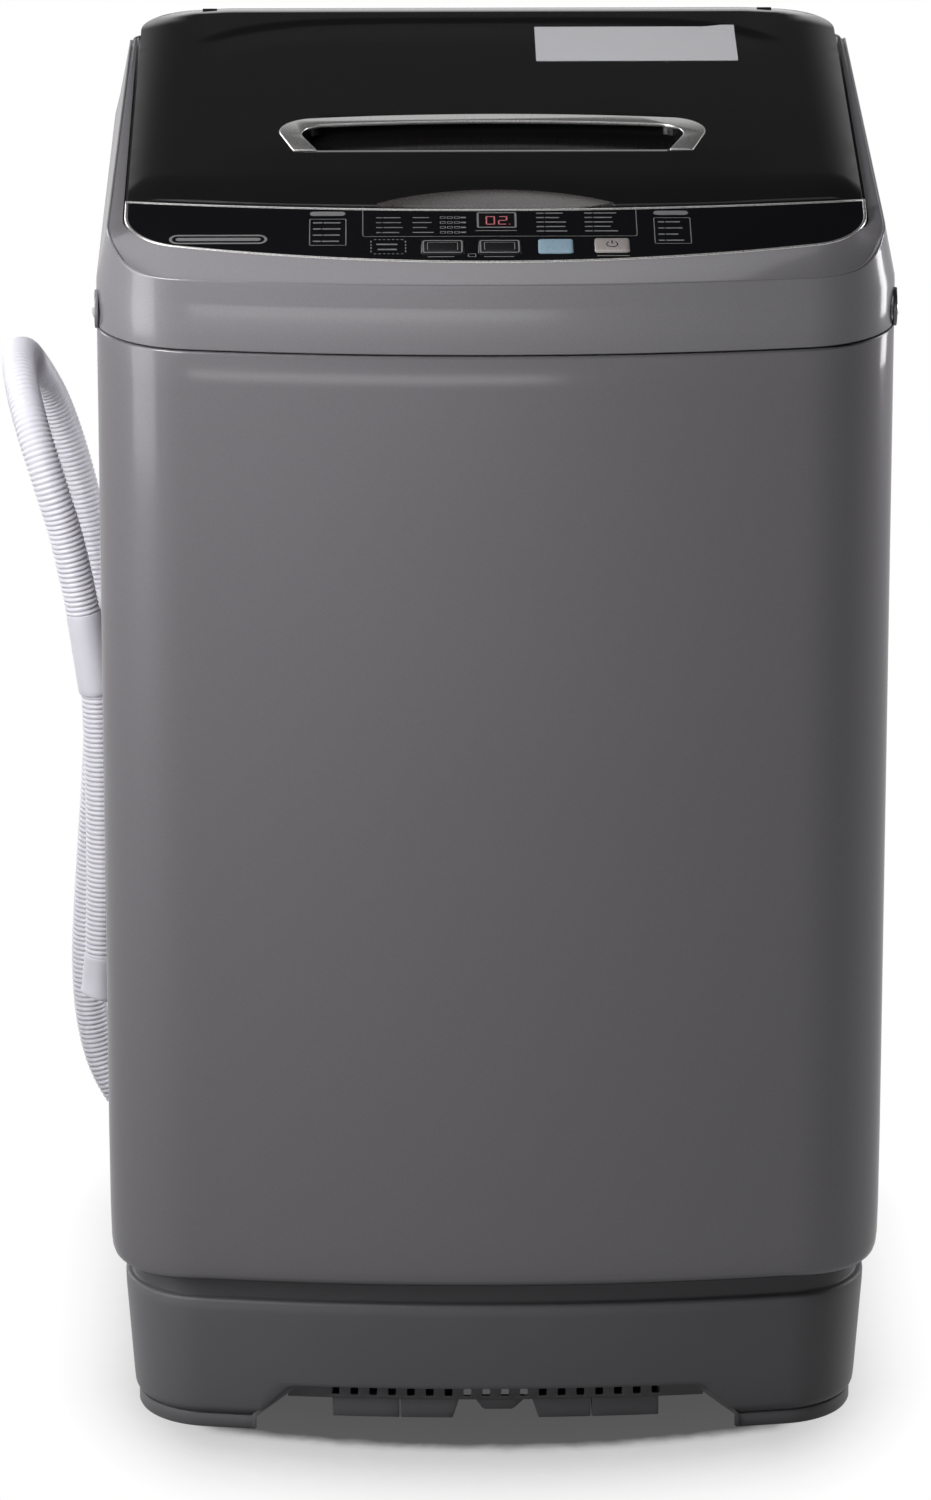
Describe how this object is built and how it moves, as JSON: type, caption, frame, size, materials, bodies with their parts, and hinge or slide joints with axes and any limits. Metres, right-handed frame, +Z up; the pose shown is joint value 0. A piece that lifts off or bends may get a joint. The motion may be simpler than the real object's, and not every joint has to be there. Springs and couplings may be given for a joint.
{
  "type": "top load washing machine",
  "caption": "Free-standing top load washing machine with a lifting lid, a sloping key panel, a hanging tub with drum and pulsator, and a drain hose looped at its side.",
  "frame": {"origin": "on the floor, under the middle of the machine's width and depth; the depth runs from the bowed front to the tip of the water inlet", "axes": "+X to the user's right when facing the panel, +Y away from the user towards the hinge side, +Z up"},
  "size_m": [0.601, 0.5565, 0.8699],
  "materials": {
    "painted_steel": "smooth grey paint",
    "galvanised": "zinc coated sheet",
    "steel": "plain steel",
    "stainless": "satin stainless",
    "cast_alloy": "as cast",
    "frame_plastic": "silver grey, satin",
    "base_plastic": "dark grey, fine grain",
    "gloss_black": "piano black",
    "silver_trim": "satin silver",
    "display_glass": "smoked",
    "key_blue": "pale blue",
    "key_silver": "warm silver",
    "key_black": "glossy",
    "tub_plastic": "off white",
    "white_plastic": "satin white",
    "hose_plastic": "corrugated, pale",
    "grey_hose": "pale grey",
    "black_rubber": "matt",
    "board_green": "lacquered board",
    "motor_paint": "dark enamel"
  },
  "bodies": {
    "cabinet": {"cabinet_shell": "painted_steel", "back_panel": "galvanised", "case_screws": "steel", "base_plinth": "base_plastic", "base_vent_grille": "base_plastic", "rear_feet": "black_rubber", "top_frame": "frame_plastic", "panel_fascia": "gloss_black", "panel_trim": "silver_trim", "display_window": "display_glass", "control_board": "board_green", "suspension_brackets": "galvanised", "suspension_seats": "white_plastic", "suspension_rods": "steel", "suspension_springs": "steel", "motor_capacitor": "white_plastic", "inlet_valve": "white_plastic", "inlet_duct": "white_plastic", "drain_bellows": "black_rubber", "drain_pipe": "white_plastic", "drain_elbow": "black_rubber", "drain_hose": "hose_plastic", "hose_cuff": "hose_plastic", "extension_hose": "grey_hose", "extension_cuff": "grey_hose", "hose_clip": "white_plastic", "power_gland": "black_rubber", "level_sensor": "white_plastic"},
    "front_foot_left": {"foot_front_left": "black_rubber"},
    "front_foot_right": {"foot_front_right": "black_rubber"},
    "program_key": {"key_program": "key_black"},
    "level_key": {"key_level": "key_black"},
    "start_key": {"key_start": "key_blue"},
    "power_key": {"key_power": "key_silver"},
    "lid": {"lid_cover": "gloss_black", "lid_liner": "base_plastic", "lid_handle_trim": "silver_trim", "lid_hinge_pins": "steel"},
    "tub": {"outer_tub": "tub_plastic", "tub_cover": "tub_plastic", "mounting_plate": "galvanised", "clutch_housing": "cast_alloy", "shaft_bearings": "steel", "shaft_seal": "black_rubber", "motor_housing": "motor_paint", "drive_belt": "black_rubber", "drain_valve_body": "white_plastic", "drain_actuator": "white_plastic", "overflow_hose": "grey_hose"},
    "drum": {"inner_drum": "stainless", "balance_ring": "white_plastic", "drum_flange": "cast_alloy", "spin_tube": "steel", "lint_filter": "white_plastic"},
    "wash_plate": {"pulsator": "white_plastic", "wash_shaft": "stainless", "pulsator_screw": "stainless"},
    "pulley": {"clutch_pulley": "cast_alloy"},
    "rotor": {"motor_rotor": "steel"},
    "drain_stem": {"drain_valve_stem": "white_plastic"}
  },
  "joints": [
    {"name": "lid_hinge", "type": "hinge", "parent": "cabinet", "child": "lid", "pos_m": [0, 0.23754, 0.86163], "axis": [-1, 0, 0], "range_deg": [0, 95]},
    {"name": "program_key_press", "type": "slide", "parent": "cabinet", "child": "program_key", "axis": [0, -0.2334, 0.9724], "range_m": [-0.001, 0], "stiffness_N_per_m": 800},
    {"name": "level_key_press", "type": "slide", "parent": "cabinet", "child": "level_key", "axis": [0, -0.2334, 0.9724], "range_m": [-0.001, 0], "stiffness_N_per_m": 800},
    {"name": "start_key_press", "type": "slide", "parent": "cabinet", "child": "start_key", "axis": [0, -0.2334, 0.9724], "range_m": [-0.001, 0], "stiffness_N_per_m": 800},
    {"name": "power_key_press", "type": "slide", "parent": "cabinet", "child": "power_key", "axis": [0, -0.2334, 0.9724], "range_m": [-0.001, 0], "stiffness_N_per_m": 800},
    {"name": "front_foot_left_turn", "type": "hinge", "parent": "cabinet", "child": "front_foot_left", "pos_m": [-0.205, -0.2, 0.03], "axis": [0, 0, 1], "range_deg": [-1080, 1080]},
    {"name": "front_foot_right_turn", "type": "hinge", "parent": "cabinet", "child": "front_foot_right", "pos_m": [0.205, -0.2, 0.03], "axis": [0, 0, 1], "range_deg": [-1080, 1080]},
    {"name": "tub_float", "type": "slide", "parent": "cabinet", "child": "tub", "axis": [0, 0, 1], "range_m": [-0.015, 0.01], "stiffness_N_per_m": 9000, "springref_m": 0.01744, "deforming": ["suspension_springs", "drain_bellows"]},
    {"name": "drum_spin", "type": "hinge", "parent": "tub", "child": "drum", "pos_m": [0, 0, 0.24], "axis": [0, 0, 1], "continuous": true},
    {"name": "pulsator_spin", "type": "hinge", "parent": "drum", "child": "wash_plate", "pos_m": [0, 0, 0.26], "axis": [0, 0, 1], "continuous": true},
    {"name": "pulley_spin", "type": "hinge", "parent": "tub", "child": "pulley", "pos_m": [0, 0, 0.104], "axis": [0, 0, 1], "continuous": true},
    {"name": "motor_spin", "type": "hinge", "parent": "tub", "child": "rotor", "pos_m": [0, 0.15, 0.104], "axis": [0, 0, 1], "continuous": true},
    {"name": "drain_valve_pull", "type": "slide", "parent": "tub", "child": "drain_stem", "axis": [1, 0, 0], "range_m": [0, 0.008], "stiffness_N_per_m": 600}
  ],
  "couplings": [
    {"joint": "pulley_spin", "follows": "drum_spin", "ratio": 1},
    {"joint": "motor_spin", "follows": "drum_spin", "ratio": 2.526}
  ]
}
